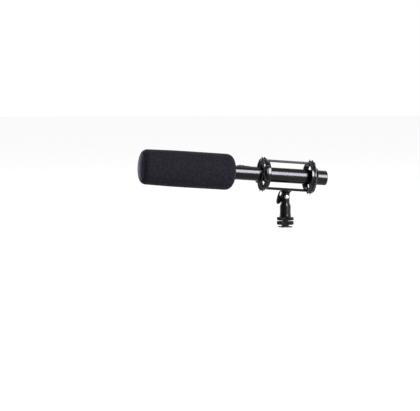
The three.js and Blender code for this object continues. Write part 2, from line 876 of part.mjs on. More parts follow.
function acousticScreen() {
  const outer = tubeBore - fit;
  const from = -tipReach + tipCapLength + tubeWall + fit;
  const to = -bodyFront - spigotWall - capsuleLength - 2 * fit;
  return alongX(hollow(outer, outer - screenWall, from, to, smallSides));
}

const capsuleRear = -bodyFront - spigotWall - 2 * fit;

function capsuleBody() {
  return alongX(rod(capsuleDiameter / 2, capsuleRear - capsuleLength, capsuleRear, turnedSides));
}

function capsuleRing() {
  const from = capsuleRear - capsuleRingLength;
  return alongX(hollow(tubeBore - fit, capsuleDiameter / 2 + fit, from, capsuleRear, turnedSides));
}

// The board carries its parts as raised blocks along both halves
function circuitBoard() {
  const rear = -sleeveSeam - spigotWall - fit;
  const middle = rear - boardLength / 2;
  let board = solid(box(boardLength, boardWidth, boardThickness, [middle, 0, 0]));
  const partShares = [
    [0.12, 0.26, 0.2, 0.22],
    [0.32, -0.2, 0.14, 0.32],
    [0.55, 0.18, 0.22, 0.18],
    [0.78, -0.12, 0.16, 0.4],
  ];
  for (const [alongShare, acrossShare, lengthShare, heightShare] of partShares) {
    const height = boardWidth * heightShare;
    const centre = [rear - boardLength * alongShare, boardWidth * acrossShare, -height / 2];
    board = board.add(solid(box(boardLength * lengthShare, boardPartWidth, height, centre)));
  }
  return surfaceOf(board);
}

// Rear chassis: a plug in the spigot, an open cradle for the cell, and the connector's carrier
const chassisRadius = tubeBore - fit;
const chassisFront = -sleeveSeam + fit;
const cradleFront = -sleeveSeam + spigotLength + fit;
const contactFront = cradleFront + chassisWall;
const cellFront = contactFront + contactThickness + 2 * fit;
const cellRear = cellFront + batteryLength + batteryNubLength;
const cradleRear = cellRear + contactThickness + 2 * fit;
const connectorRear = rearReach - connectorInset;
const connectorFront = connectorRear - connectorDepth - connectorFloor;
const carrierRear = connectorFront - fit;
const bayFront = cradleRear + chassisWall;
const bayRear = carrierRear - chassisWall;
const bayCentre = (bayFront + bayRear) / 2;
const transformerLength = (bayRear - bayFront) * transformerShare;

function innerChassis() {
  const cellRadius = batteryDiameter / 2 + fit;
  const plugRadius = spigotBore - fit;
  const plug = solid(alongX(rod(plugRadius, chassisFront, cradleFront + chassisWall / 2, smallSides)));
  const cradle = solid(alongX(rod(chassisRadius, cradleFront, carrierRear, turnedSides)));
  const cell = solid(alongX(rod(cellRadius, contactFront, cradleRear, turnedSides)));
  const openLength = carrierRear - cradleFront - 2 * chassisWall;
  const openCentre = [(carrierRear + cradleFront) / 2, 0, chassisRadius];
  const open = solid(box(openLength, 2 * chassisRadius, 2 * chassisRadius, openCentre));
  const bayDepth = transformerHeight / 2 + fit;
  const bayWidth = transformerWidth + 2 * fit;
  const bay = solid(box(bayRear - bayFront, bayWidth, bayDepth + fit, [bayCentre, 0, -bayDepth / 2]));
  return surfaceOf(plug.add(cradle).subtract(cell).subtract(open).subtract(bay));
}

function batteryCell() {
  const shoulder = cellRear - batteryNubLength;
  return alongX(turned([
    [0, cellFront],
    [batteryDiameter / 2, cellFront],
    [batteryDiameter / 2, shoulder],
    [batteryNubDiameter / 2, shoulder],
    [batteryNubDiameter / 2, cellRear],
    [0, cellRear],
  ]));
}

function contactPlate(from) {
  return box(contactThickness, contactWidth, contactWidth, [from + contactThickness / 2, 0, 0]);
}

function outputTransformer() {
  const core = solid(box(transformerLength, transformerWidth, transformerHeight, [bayCentre, 0, 0]));
  const notchCentre = [bayCentre, 0, transformerHeight / 2];
  const notchWidth = transformerWidth + overrun;
  const notch = box(transformerLength / 2, notchWidth, transformerHeight / 4, notchCentre);
  return surfaceOf(core.subtract(solid(notch)));
}

function connectorShell() {
  const outer = connectorBore / 2 + connectorWall;
  const bore = connectorBore / 2;
  const floor = connectorFront + connectorFloor;
  let shell = solid(alongX(turned([
    [0, connectorFront],
    [outer, connectorFront],
    [outer, connectorRear],
    [bore, connectorRear],
    [bore, floor],
    [0, floor],
  ])));
  for (const [y, z] of pinPlaces()) {
    const drill = rod(pinDiameter / 2 + fit, connectorFront - overrun, floor + overrun, screwSides);
    shell = shell.subtract(solid(alongX(drill).translate(0, y, z)));
  }
  return surfaceOf(shell);
}

// Three pins on one circle, the third at the bottom and the widest space at the top
function pinPlaces() {
  const radius = pinCircle / 2;
  return [
    [-radius * Math.sin(pinSpread), radius * Math.cos(pinSpread)],
    [radius * Math.sin(pinSpread), radius * Math.cos(pinSpread)],
    [0, -radius],
  ];
}

function connectorPin() {
  const from = connectorFront + fit;
  const to = connectorFront + connectorFloor + pinLength;
  const radius = pinDiameter / 2;
  return alongX(turned([
    [0, from],
    [radius, from],
    [radius, to - radius / 2],
    [radius / 2, to],
    [0, to],
  ], screwSides));
}

function switchBezel() {
  const top = tubeRadius + bezelProud;
  const depth = tubeWall + bezelProud;
  const middle = -bezelRear - bezelLength / 2;
  const centre = [middle, 0, top - depth / 2];
  const plate = extruded(roundedPlate(bezelLength, bezelWidth, switchRidge), depth);
  const body = solid(plate.translate(middle, 0, top - depth));
  const tube = rod(tubeRadius + fit, middle - bezelLength, middle + bezelLength, turnedSides);
  const skirtLength = bezelLength - 2 * switchRidge - 2 * fit;
  const skirtWidth = bezelWidth - switchRidge - 2 * fit;
  const skirt = solid(box(skirtLength, skirtWidth, depth, centre));
  const wellLength = switchLength + switchTravel + 2 * fit;
  const well = solid(box(wellLength, switchWidth + 2 * fit, depth + overrun, centre));
  return surfaceOf(body.subtract(solid(alongX(tube))).add(skirt).subtract(well));
}

function lowCutSwitch() {
  const top = tubeRadius + bezelProud;
  const depth = tubeWall + bezelProud;
  const middle = -bezelRear - bezelLength / 2 - switchTravel / 2;
  const height = depth + switchProud / 2;
  const block = box(switchLength, switchWidth, height, [middle, 0, top - depth + height / 2]);
  let body = solid(block);
  const ridgeHeight = switchProud + depth / 2;
  for (const side of [-1, 1]) {
    const place = middle + side * (switchLength - switchRidge) / 2;
    const centre = [place, 0, top + switchProud - ridgeHeight / 2];
    body = body.add(solid(box(switchRidge, switchWidth, ridgeHeight, centre)));
  }
  return surfaceOf(body);
}

function statusLight() {
  const radius = lightDiameter / 2;
  const top = tubeRadius + lightProud;
  return turned([
    [0, tubeBore],
    [radius, tubeBore],
    [radius, top - lightProud / 2],
    [radius / 2, top],
    [0, top],
  ], screwSides);
}

function setScrew() {
  return rod(setScrewDiameter / 2, -tubeRadius, -tubeBore, tinySides);
}

function batterySleeve() {
  const front = -sleeveSeam + fit;
  return alongX(turned([
    [tubeBore, front],
    [gripRadius - tubeChamfer, front],
    [gripRadius, front + tubeChamfer],
    [gripRadius, rearReach - tubeChamfer],
    [gripRadius - tubeChamfer, rearReach],
    [tubeBore, rearReach],
    [tubeBore, front],
  ], roundSides));
}

function buildMicrophone(parent) {
  addPiece(parent, 'body_tube', bodyTube(), 'satinBlack');
  addPiece(parent, 'interference_tube', slottedTube(), 'satinBlack');
  addPiece(parent, 'tip_cap', tipCap(), 'satinBlack');
  addPiece(parent, 'acoustic_screen', acousticScreen(), 'mesh');
  addPiece(parent, 'capsule', capsuleBody(), 'brass');
  addPiece(parent, 'capsule_ring', capsuleRing(), 'rubber');
  addPiece(parent, 'circuit_board', circuitBoard(), 'board');
  addPiece(parent, 'switch_bezel', switchBezel(), 'mattBlack');
  addPiece(parent, 'low_cut_switch', lowCutSwitch(), 'mattBlack');
  addPiece(parent, 'status_light', statusLight(), 'lens', [-lightPlace, 0, 0]);
  addPiece(parent, 'set_screw', setScrew(), 'steel', [-setScrewPlace, 0, 0]);
  addPiece(parent, 'inner_chassis', innerChassis(), 'mattBlack');
  addPiece(parent, 'battery', batteryCell(), 'cell');
  addPiece(parent, 'front_contact', contactPlate(contactFront + fit), 'steel');
  addPiece(parent, 'rear_contact', contactPlate(cellRear + fit), 'steel');
  addPiece(parent, 'output_transformer', outputTransformer(), 'mesh');
  addPiece(parent, 'connector_shell', connectorShell(), 'mattBlack');
  pinPlaces().forEach(([y, z], i) => {
    addPiece(parent, `connector_pin_${i + 1}`, connectorPin(), 'brass', [0, y, z]);
  });
  addPiece(parent, 'battery_sleeve', batterySleeve(), 'satinBlack');
  addPiece(parent, 'windscreen', windscreen(), 'foam');
}

// Foam windscreen: a slight barrel with a nearly flat front, a domed rear and a blind bore

function foamFrontEdge() {
  const radius = foamFrontCorner;
  const centre = [foamFrontDiameter / 2 - radius, -foamFront + foamFrontCrown + radius];
  const points = [];
  for (let i = 0; i <= foamCurveSteps; i += 1) {
    const angle = ((i / foamCurveSteps - 1) * Math.PI) / 2;
    points.push([centre[0] + radius * Math.cos(angle), centre[1] + radius * Math.sin(angle)]);
  }
  return points;
}

// The rear is a superellipse from the full diameter in to the bore
function foamRearDome(bore) {
  const radius = foamRearDiameter / 2;
  const reach = (share) => foamRearLength * (1 - share ** foamRearPower) ** (1 / foamRearPower);
  const boreShare = bore / radius;
  const points = [];
  for (let i = 0; i <= foamCurveSteps; i += 1) {
    const share = 1 - (1 - boreShare) * (i / foamCurveSteps) ** 2;
    const distance = reach(share) - reach(boreShare);
    points.push([radius * share, -foamRear + distance]);
  }
  return points;
}

function windscreen() {
  const bore = tubeRadius + fit;
  const middle = -(foamFront + foamRear) / 2;
  const profile = [
    [0, -foamFront],
    ...foamFrontEdge(),
    [foamRearDiameter / 2, middle],
    ...foamRearDome(bore),
    [bore, -tipReach - fit],
    [0, -tipReach - fit],
  ];
  return alongX(turned(profile, roundSides));
}

const model = new THREE.Group();
const head = new THREE.Group();
const microphone = new THREE.Group();
head.position.set(0, 0, pivotHeight);
head.rotation.y = restTilt;
microphone.position.set(0, 0, axisHeight);
head.add(microphone);
model.add(head);

buildFoot(model);
buildPost(model);
buildLever(model);
buildCage(head);
buildMicrophone(microphone);

export default model;
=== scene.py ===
"""On-camera microphone in an elastic shock mount, on a swivel post with a shoe foot.

Sizes are in millimetres until a mesh is made. A piece is modelled in one of three frames and then
placed: the object's own, the head's, which tilts round the pivot, and the microphone's, whose X
axis runs back along the tube.
"""
import math

import bmesh
import bpy
from mathutils import Matrix, Vector, noise


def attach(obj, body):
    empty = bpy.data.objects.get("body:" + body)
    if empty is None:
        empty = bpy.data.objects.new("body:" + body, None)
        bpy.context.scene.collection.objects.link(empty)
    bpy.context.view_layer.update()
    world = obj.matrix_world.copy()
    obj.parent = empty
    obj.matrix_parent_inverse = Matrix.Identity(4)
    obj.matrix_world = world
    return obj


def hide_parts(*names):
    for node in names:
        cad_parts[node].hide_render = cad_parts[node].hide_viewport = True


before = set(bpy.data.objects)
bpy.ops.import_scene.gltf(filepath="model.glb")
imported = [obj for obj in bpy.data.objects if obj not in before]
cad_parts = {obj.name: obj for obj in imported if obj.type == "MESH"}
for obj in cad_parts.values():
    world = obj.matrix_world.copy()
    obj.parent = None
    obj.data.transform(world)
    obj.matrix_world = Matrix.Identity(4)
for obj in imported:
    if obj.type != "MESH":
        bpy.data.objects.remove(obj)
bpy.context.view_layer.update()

MM = 0.001
FIT = 0.3

# Frames
PIVOT_HEIGHT = 47.8
AXIS_HEIGHT = 33.6
REST_TILT = math.radians(4)
PIVOT = Matrix.Translation((0, 0, PIVOT_HEIGHT * MM))
HEAD = PIVOT @ Matrix.Rotation(REST_TILT, 4, "Y")
MICROPHONE = HEAD @ Matrix.Translation((0, 0, AXIS_HEIGHT * MM))
ALONG_X = Matrix.Rotation(math.pi / 2, 4, "Y")
ALONG_Y = Matrix.Rotation(-math.pi / 2, 4, "X")
HALF_TURN = Matrix.Rotation(math.pi, 4, "X")

# Foot, discs and post
STUD_RADIUS = 3.175
STUD_BORE = 3.475
DISC_RADIUS = 13.25
BOLT_RADIUS = 2.0
BOLT_BORE = 2.3

# Cage and bands, along the tube from the cage's middle and outwards from the tube's axis. A band
# loops round its horns at BAND_LOOP, drops over the rim at BAND_EDGE, and crosses beside the tube
# in BAND_PLANE, where its cord is STRAND_DISTANCE from the axis.
HOOP_OUTER = 23.6
HOOP_INNER = 20.8
HOOP_FACE = 42.3
HOOP_START = 33.5
GROOVE_DEPTH = 1.1
BAR_REACH = 37.5
BAR_WIDTH = 8.0
BAR_THICKNESS = 4.0
SCREW_PLACE = 35.5
SCREW_SINK = 0.05
BAND_RADIUS = 0.85
BAND_SPREAD = 4.6
BAND_LOOP = 24.95
BAND_PLANE = 43.45
BAND_EDGE = BAND_LOOP - BAND_RADIUS
HORN_PLACE = 39.9
HORN_RADIUS = 1.15
HORN_LEAN = 0.5
HORN_OFFSET = math.radians(12.5)
STRAND_DISTANCE = 12.75
HORN_SPAN = math.acos(STRAND_DISTANCE / BAND_EDGE) - BAND_SPREAD / (2 * BAND_LOOP)
BAND_SLANT = HORN_OFFSET + HORN_SPAN
BAND_NORMALS = [BAND_SLANT, math.pi - BAND_SLANT, math.pi + BAND_SLANT, 2 * math.pi - BAND_SLANT]

# Microphone, along the tube from the cage's middle
TUBE = 11.0
GRIP = 11.6
TUBE_BORE = 9.2
REAR = 65.0
SEAM = 38.0
BODY_FRONT = 95.0
SWITCH_PLACE = -74.4
SLIDER_PLACE = -75.9
LAMP_PLACE = -63.9
GRUB_PLACE = -60.8


# ---- Shader nodes

def colour(hex_code):
    """An sRGB hex colour as linear red, green, blue and alpha."""
    parts = [int(hex_code[i:i + 2], 16) / 255 for i in (1, 3, 5)]
    return [c / 12.92 if c <= 0.04045 else ((c + 0.055) / 1.055) ** 2.4 for c in parts] + [1.0]


def add_node(tree, kind, inputs=None, **settings):
    """Adds a node with its settings; each input is a value or another node's socket."""
    made = tree.nodes.new(kind)
    for key, value in settings.items():
        setattr(made, key, value)
    for key, value in (inputs or {}).items():
        if isinstance(value, bpy.types.NodeSocket):
            tree.links.new(value, made.inputs[key])
        else:
            made.inputs[key].default_value = value
    return made


def object_place(tree):
    """The object's own coordinates."""
    return add_node(tree, "ShaderNodeTexCoord").outputs["Object"]


def stretched(tree, value, low, high, start=0.0, end=1.0):
    """A value carried from one range to another, and held at its two ends."""
    return add_node(tree, "ShaderNodeMapRange", {
        "Value": value, "From Min": low, "From Max": high,
        "To Min": start, "To Max": end}).outputs["Result"]


def reckoned(tree, operation, first, second):
    """Two values put together by an arithmetic operation."""
    return add_node(tree, "ShaderNodeMath", {0: first, 1: second},
                    operation=operation).outputs["Value"]


def blended(tree, share, first, second):
    """A colour between two others. Sockets 6 and 7 of the node are the colours that it mixes, and
    its output 2 is the colour that it makes."""
    return add_node(tree, "ShaderNodeMix", {0: share, 6: first, 7: second},
                    data_type="RGBA").outputs[2]


def reach_along(tree, place, direction):
    """How far a place lies along a direction."""
    return add_node(tree, "ShaderNodeVectorMath", {0: place, 1: direction},
                    operation="DOT_PRODUCT").outputs["Value"]


def grain(tree, size, turn=(0, 0, 0), stretch=(1, 1, 1), detail=3.0, roughness=0.55):
    """Noise whose grains are size millimetres wide, stretched along the piece's own axes."""
    mapped = add_node(tree, "ShaderNodeMapping", {
        "Vector": object_place(tree), "Rotation": turn, "Scale": stretch})
    return add_node(tree, "ShaderNodeTexNoise", {
        "Vector": mapped.outputs["Vector"], "Scale": 1 / (size * MM), "Detail": detail,
        "Roughness": roughness}).outputs["Fac"]


def new_material(name, **sockets):
    """A material with one Principled shader whose uniform values are set on its own sockets."""
    material = bpy.data.materials.new(name)
    material.use_nodes = True
    shader = material.node_tree.nodes["Principled BSDF"]
    for key, value in sockets.items():
        shader.inputs[key.replace("_", " ")].default_value = value
    return material, material.node_tree, shader


def tint(tree, shader, source, dark, light):
    """Base colour that wanders between two colours with a pattern."""
    shade = blended(tree, source, colour(dark), colour(light))
    tree.links.new(shade, shader.inputs["Base Color"])
    return shade


def wear(tree, shader, source, low, high):
    """Roughness that wanders between two values with a pattern."""
    tree.links.new(stretched(tree, source, 0.3, 0.7, low, high), shader.inputs["Roughness"])


def relief(tree, shader, source, depth, strength=1.0):
    """Bump from a pattern, its depth in millimetres."""
    bump = add_node(tree, "ShaderNodeBump", {
        "Height": source, "Distance": depth * MM, "Strength": strength})
    tree.links.new(bump.outputs["Normal"], shader.inputs["Normal"])


# ---- Materials

def anodised_aluminium():
    # Turned, bead-blasted and dyed black: a soft sheen from the oxide over a nearly black dye,
    # with a fine even grain and faint turning lines along the tube.
    material, tree, shader = new_material(
        "black_anodised_aluminium", IOR=1.45, Specular_IOR_Level=0.45)
    lines = grain(tree, 2.5, turn=(0, -REST_TILT, 0), stretch=(6, 0.4, 0.4))
    tint(tree, shader, lines, "#050506", "#09090c")
    wear(tree, shader, grain(tree, 9.0), 0.2, 0.24)
    relief(tree, shader, grain(tree, 0.5), 0.005, 0.1)
    return material


def blasted_casting():
    # An aluminium casting, bead-blasted and dyed black: duller than the tube, its grain coarser.
    material, tree, shader = new_material(
        "black_anodised_casting", IOR=1.46, Specular_IOR_Level=0.45)
    cloud = grain(tree, 6.0)
    tint(tree, shader, cloud, "#040405", "#09090b")
    wear(tree, shader, cloud, 0.2, 0.28)
    relief(tree, shader, grain(tree, 0.6), 0.03, 0.3)
    return material


def polished_moulding():
    # Black ABS moulded against a polished tool: crisp highlights with a faint orange peel.
    material, tree, shader = new_material(
        "polished_black_abs", IOR=1.5, Specular_IOR_Level=0.45)
    haze = grain(tree, 7.0)
    tint(tree, shader, haze, "#050507", "#0a0a0d")
    wear(tree, shader, haze, 0.13, 0.22)
    relief(tree, shader, grain(tree, 2.0, detail=1.0), 0.02, 0.2)
    return material


def painted_sheen_moulding():
    # The same ABS on the upper bar, painted a little paler than the hoops as a painted sheen,
    # since that bar is lit from above; rougher, so a broad grey sheen, no crisp highlight.
    material, tree, shader = new_material(
        "painted_sheen_black_abs", IOR=1.5, Specular_IOR_Level=0.45)
    haze = grain(tree, 7.0, stretch=(0.4, 1, 1))
    tint(tree, shader, haze, "#070709", "#0f0f12")
    wear(tree, shader, haze, 0.36, 0.48)
    return material


def matt_enamel():
    # Stoved matt enamel: the darkest black of the mount, with hardly any sheen. On the lower bar
    # it is also a painted shade, darker than the alike upper bar.
    material, tree, shader = new_material(
        "stoved_matt_enamel", IOR=1.45, Specular_IOR_Level=0.15)
    cloud = grain(tree, 5.0)
    tint(tree, shader, cloud, "#040405", "#08080a")
    wear(tree, shader, cloud, 0.55, 0.68)
    return material


def turned_disc():
    # Aluminium turned on a lathe and anodised gloss black: rings of fine tool marks round Z.
    material, tree, shader = new_material("turned_black_aluminium", IOR=1.5)
    marks = grain(tree, 1.2, stretch=(0.3, 0.3, 5))
    tint(tree, shader, marks, "#08080b", "#131317")
    wear(tree, shader, marks, 0.17, 0.28)
    relief(tree, shader, marks, 0.02, 0.3)
    return material


def moulded_nylon():
    # Glass-filled nylon with a fine sparked texture: matt black, its grain under a millimetre.
    material, tree, shader = new_material("sparked_black_nylon", IOR=1.53)
    spark = grain(tree, 0.7, detail=4.0)
    tint(tree, shader, spark, "#0d0d10", "#1a1a1e")
    wear(tree, shader, spark, 0.42, 0.6)
    relief(tree, shader, spark, 0.06, 0.5)
    return material


def rubber_cord():
    # Vulcanised rubber cord: dark, with a waxy bloom that softens its highlight.
    material, tree, shader = new_material("vulcanised_rubber", IOR=1.52)
    bloom = grain(tree, 1.5)
    tint(tree, shader, bloom, "#0a0a0c", "#1a1a1d")
    wear(tree, shader, bloom, 0.34, 0.52)
    relief(tree, shader, bloom, 0.03, 0.3)
    return material


def open_cell_foam():
    # Open-cell polyurethane, skinless: a charcoal with a violet cast. Its pores' pits are painted
    # darker as painted shade, and a painted sheen pales the nose's rim where it is seen at a
    # slant. Real pores are about 0.5 mm; they are drawn at 1.1 mm so that they show.
    material, tree, shader = new_material(
        "open_cell_polyurethane", Roughness=0.92, IOR=1.45, Specular_IOR_Level=0.1,
        Sheen_Weight=0.15, Sheen_Roughness=0.3, Sheen_Tint=colour("#c8c9e6"))
    place = object_place(tree)
    pores = add_node(tree, "ShaderNodeTexVoronoi", {"Vector": place, "Scale": 1 / (1.1 * MM)})
    depth = stretched(tree, pores.outputs["Distance"], 0.1, 0.6)
    mottle = stretched(tree, grain(tree, 2.6, detail=4.0, roughness=0.6), 0.36, 0.64, 0.25)
    # Painted shade: the colour is darker in the pores' pits, where the bump sinks.
    flank_with_pore_shade = tint(tree, shader, reckoned(tree, "MULTIPLY", depth, mottle), "#0b0a0d", "#222127")
    # Painted sheen: the nose's rim, seen at a slant, is blended towards a pale grey-violet.
    forward = (-math.cos(REST_TILT), 0, math.sin(REST_TILT))
    nose = stretched(tree, reach_along(tree, place, forward), 0.2398, 0.2421)
    slant = add_node(tree, "ShaderNodeLayerWeight", {"Blend": 0.5}).outputs["Facing"]
    pale = reckoned(tree, "MULTIPLY", nose, stretched(tree, slant, 0.68, 0.84))
    tree.links.new(blended(tree, pale, flank_with_pore_shade, colour("#8a8a9b")), shader.inputs["Base Color"])
    relief(tree, shader, depth, 0.35, 0.6)
    return material


def bright_steel():
    # Nickel-plated steel: bright, with fine turning marks.
    material, tree, shader = new_material("nickel_plated_steel", Metallic=1.0)
    marks = grain(tree, 0.8, stretch=(1, 3, 1))
    tint(tree, shader, marks, "#c4c5c9", "#e2e3e6")
    wear(tree, shader, marks, 0.33, 0.45)
    return material


def zinc_black():
    # Steel screws with a black zinc finish: small dull glints at the recess.
    material, tree, shader = new_material("black_zinc_steel", Metallic=1.0)
    marks = grain(tree, 0.8)
    tint(tree, shader, marks, "#1f2023", "#383a3f")
    wear(tree, shader, marks, 0.28, 0.45)
    return material


def plated_brass():
    # Gold-flashed brass pins: warm and bright, slightly dull at the flanks.
    material, tree, shader = new_material("gold_flashed_brass", Metallic=1.0)
    marks = grain(tree, 0.9, stretch=(0.5, 2, 2))
    tint(tree, shader, marks, "#b8954c", "#dcbf78")
    wear(tree, shader, marks, 0.18, 0.34)
    return material


def lacquered_board():
    # Glass-epoxy board under green solder lacquer, with the weave faintly visible.
    material, tree, shader = new_material("green_solder_lacquer", IOR=1.55)
    weave = grain(tree, 0.9)
    tint(tree, shader, weave, "#12472f", "#1d6646")
    wear(tree, shader, weave, 0.3, 0.42)
    return material


def cell_wrap():
    # Shrink-wrapped dry cell: plain blue-grey film with soft wrinkles.
    material, tree, shader = new_material("shrink_wrap_film", Roughness=0.32, IOR=1.5)
    folds = grain(tree, 5.0, stretch=(0.3, 1, 1))
    tint(tree, shader, folds, "#35465b", "#465b75")
    relief(tree, shader, folds, 0.1, 0.4)
    return material


def woven_mesh():
    # Fine steel gauze round the sound path: a dark grey weave of 0.4 mm, drawn at 0.8 mm.
    material, tree, shader = new_material("steel_gauze", Metallic=1.0, Roughness=0.45)
    weave = add_node(tree, "ShaderNodeTexChecker", {
        "Vector": object_place(tree), "Scale": 1 / (0.8 * MM),
        "Color1": colour("#2c2d30"), "Color2": colour("#74757b")})
    tree.links.new(weave.outputs["Color"], shader.inputs["Base Color"])
    relief(tree, shader, weave.outputs["Fac"], 0.15, 0.6)
    return material


def red_lens():
    # Dark red polycarbonate lens over an unlit lamp.
    material, tree, shader = new_material(
        "red_polycarbonate", Roughness=0.1, IOR=1.58, Coat_Weight=0.6)
    tint(tree, shader, grain(tree, 1.2), "#380b0a", "#5e1512")
    return material


TUBE_BLACK = anodised_aluminium()
CAST_BLACK = blasted_casting()
GLOSS_BLACK = polished_moulding()
PAINTED_SHEEN_BLACK = painted_sheen_moulding()
MATT_BLACK = matt_enamel()
DISC_BLACK = turned_disc()
NYLON = moulded_nylon()
RUBBER = rubber_cord()
FOAM = open_cell_foam()
STEEL = bright_steel()
DARK_SCREW = zinc_black()
BRASS = plated_brass()
BOARD = lacquered_board()
WRAP = cell_wrap()
GAUZE = woven_mesh()
LENS = red_lens()


# ---- Mesh tools

def shift(x, y, z):
    """A move by millimetres."""
    return Matrix.Translation((x * MM, y * MM, z * MM))


def turned(profile, segments=96):
    """A form turned round Z from (radius, height) pairs; a profile whose two ends stand off the
    axis is closed into a loop."""
    bm = bmesh.new()
    ring = [bm.verts.new((r * MM, 0, z * MM)) for r, z in profile]
    edges = [bm.edges.new(pair) for pair in zip(ring, ring[1:])]
    if profile[0][0] > 0 and profile[-1][0] > 0:
        edges.append(bm.edges.new((ring[-1], ring[0])))
    bmesh.ops.spin(bm, geom=ring + edges, cent=(0, 0, 0), axis=(0, 0, 1), dvec=(0, 0, 0),
                   angle=2 * math.pi, steps=segments, use_merge=True, use_duplicate=False)
    bmesh.ops.remove_doubles(bm, verts=bm.verts, dist=1e-7)
    bmesh.ops.recalc_face_normals(bm, faces=bm.faces)
    return bm


def rod(radius, start, end, segments=48):
    """A solid cylinder along Z."""
    return turned([(0, start), (radius, start), (radius, end), (0, end)], segments)


def pipe(inner, outer, start, end, segments=48):
    """A hollow cylinder along Z."""
    return turned([(inner, start), (outer, start), (outer, end), (inner, end)], segments)


def block(length, width, height, centre=(0, 0, 0)):
    """A box as a start for cutting and rounding."""
    bm = bmesh.new()
    place = Matrix.Translation(Vector(centre) * MM) @ Matrix.Diagonal(
        (length * MM, width * MM, height * MM, 1))
    bmesh.ops.create_cube(bm, size=1, matrix=place)
    return bm


def outline_block(points, depth):
    """An outline in X and Z, pushed out evenly to both sides along Y."""
    bm = bmesh.new()
    ring = [bm.verts.new((x * MM, -depth * MM / 2, z * MM)) for x, z in points]
    face = bm.faces.new(ring)
    made = bmesh.ops.extrude_face_region(bm, geom=[face])
    moved = [g for g in made["geom"] if isinstance(g, bmesh.types.BMVert)]
    bmesh.ops.translate(bm, verts=moved, vec=(0, depth * MM, 0))
    bmesh.ops.recalc_face_normals(bm, faces=bm.faces)
    return bm


def arc(centre, radius, start, end, steps):
    """Points on an arc, in degrees from the first axis to the second."""
    found = []
    for i in range(steps + 1):
        angle = math.radians(start + (end - start) * i / steps)
        found.append((centre[0] + radius * math.cos(angle), centre[1] + radius * math.sin(angle)))
    return found


def smooth_loop(points, steps=6):
    """More points on a closed line, so that it passes smoothly through the given ones."""
    found = []
    count = len(points)
    for i in range(count):
        a, b, c, d = (Vector(points[(i + k - 1) % count]) for k in range(4))
        for j in range(steps):
            t = j / steps
            found.append(tuple((2 * b + (c - a) * t + (2 * a - 5 * b + 4 * c - d) * t * t
                                + (3 * b - a - 3 * c + d) * t ** 3) / 2))
    return found


def placed(bm, place):
    """The same form, moved."""
    bm.transform(place)
    return bm


def rounded(bm, edges, radius, segments):
    """The same form with the given edges rounded."""
    bmesh.ops.bevel(bm, geom=edges, offset=radius * MM, offset_type="OFFSET", affect="EDGES",
                    segments=segments, profile=0.5, clamp_overlap=True, material=-1)
    return bm


def softened(bm, radius, segments=3, limit=30):
    """Rounds every edge that turns by more than the limit, in degrees."""
    edges = [e for e in bm.edges if e.is_manifold and e.calc_face_angle(0) > math.radians(limit)]
    return rounded(bm, edges, radius, segments)


def rounded_along(bm, axis, radius):
    """Rounds the edges of a block that run along one axis, 0 to 2 for X to Z."""
    edges = [e for e in bm.edges
             if abs((e.verts[1].co - e.verts[0].co).normalized()[axis]) > 0.9]
    return rounded(bm, edges, radius, 5)


def as_object(bm, name="part"):
    """An object in the scene with the form as its mesh; the form is used up."""
    mesh = bpy.data.meshes.new(name)
    bm.to_mesh(mesh)
    bm.free()
    made = bpy.data.objects.new(name, mesh)
    bpy.context.scene.collection.objects.link(made)
    return made


def drop(spare):
    """Removes a helper object with its mesh."""
    mesh = spare.data
    bpy.data.objects.remove(spare)
    bpy.data.meshes.remove(mesh)


def combined(body, tools, operation):
    """A body with each tool cut away, joined on or kept in common, as a new form."""
    target = as_object(body)
    helpers = [as_object(tool) for tool in tools]
    for helper in helpers:
        change = target.modifiers.new("change", "BOOLEAN")
        change.operation = operation
        change.solver = "EXACT"
        change.object = helper
    depsgraph = bpy.context.evaluated_depsgraph_get()
    result = bmesh.new()
    result.from_mesh(target.evaluated_get(depsgraph).to_mesh())
    for spare in [target, *helpers]:
        drop(spare)
    bmesh.ops.remove_doubles(result, verts=result.verts, dist=1e-6)
    bmesh.ops.dissolve_limit(result, angle_limit=math.radians(0.5), verts=result.verts,
                             edges=result.edges, delimit=set())
    return result


def cut(body, *tools):
    return combined(body, tools, "DIFFERENCE")


def joined(body, *tools):
    return combined(body, tools, "UNION")


def shared(body, tool):
    return combined(body, [tool], "INTERSECT")


def with_shell(body, extra):
    """A body with another closed form sunk into it, left as a shell of its own."""
    spare = as_object(extra)
    body.from_mesh(spare.data)
    drop(spare)
    return body


def piece(name, bm, finish, body, stands_for, place=None, sharp=38):
    """A finished piece: its place in its mesh, its finish, and the body that it rides on."""
    if place is not None:
        bm.transform(place)
    made = as_object(bm, name)
    made.data.shade_smooth()
    made.data.set_sharp_from_angle(angle=math.radians(sharp))
    steady = made.modifiers.new("large_faces_lead", "WEIGHTED_NORMAL")
    steady.keep_sharp = True
    made.data.materials.append(finish)
    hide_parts(*stands_for)
    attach(made, body)
    return made


def dress(node, finish):
    """A CAD node whose shape is right gets its finish."""
    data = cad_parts[node].data
    data.materials.clear()
    data.materials.append(finish)


# ---- Foot and the two discs

def shoe_foot():
    """A plate with rounded corners and a bored neck, and the stud that stands in it."""
    plate = rounded_along(block(18, 18.6, 2, (0, 0, 1)), 2, 1.5)
    body = cut(joined(plate, rod(5.75, 1, 3.9, 64)), rod(STUD_BORE, 0.9, 6))
    piece("foot_plate", softened(body, 0.25), CAST_BLACK, "foot", ["shoe_foot"])
    stud = rod(STUD_RADIUS, 1.2, 26.5)
    piece("centre_stud", softened(stud, 0.3), STEEL, "foot", ["mount_stud"])


def knurled_disc(height, teeth=72):
    """A disc whose rim has straight knurling between two chamfers."""
    chamfer, furrow = 0.7, 0.45
    disc = turned([
        (STUD_BORE, 0), (DISC_RADIUS - chamfer, 0), (DISC_RADIUS, chamfer),
        (DISC_RADIUS, height - chamfer), (DISC_RADIUS - chamfer, height), (STUD_BORE, height)],
        2 * teeth)
    for vert in disc.verts:
        step = round(math.atan2(vert.co.y, vert.co.x) / math.pi * teeth)
        if step % 2 and vert.co.xy.length > (DISC_RADIUS - 0.05) * MM:
            vert.co.xy *= (DISC_RADIUS - furrow) / DISC_RADIUS
    return disc


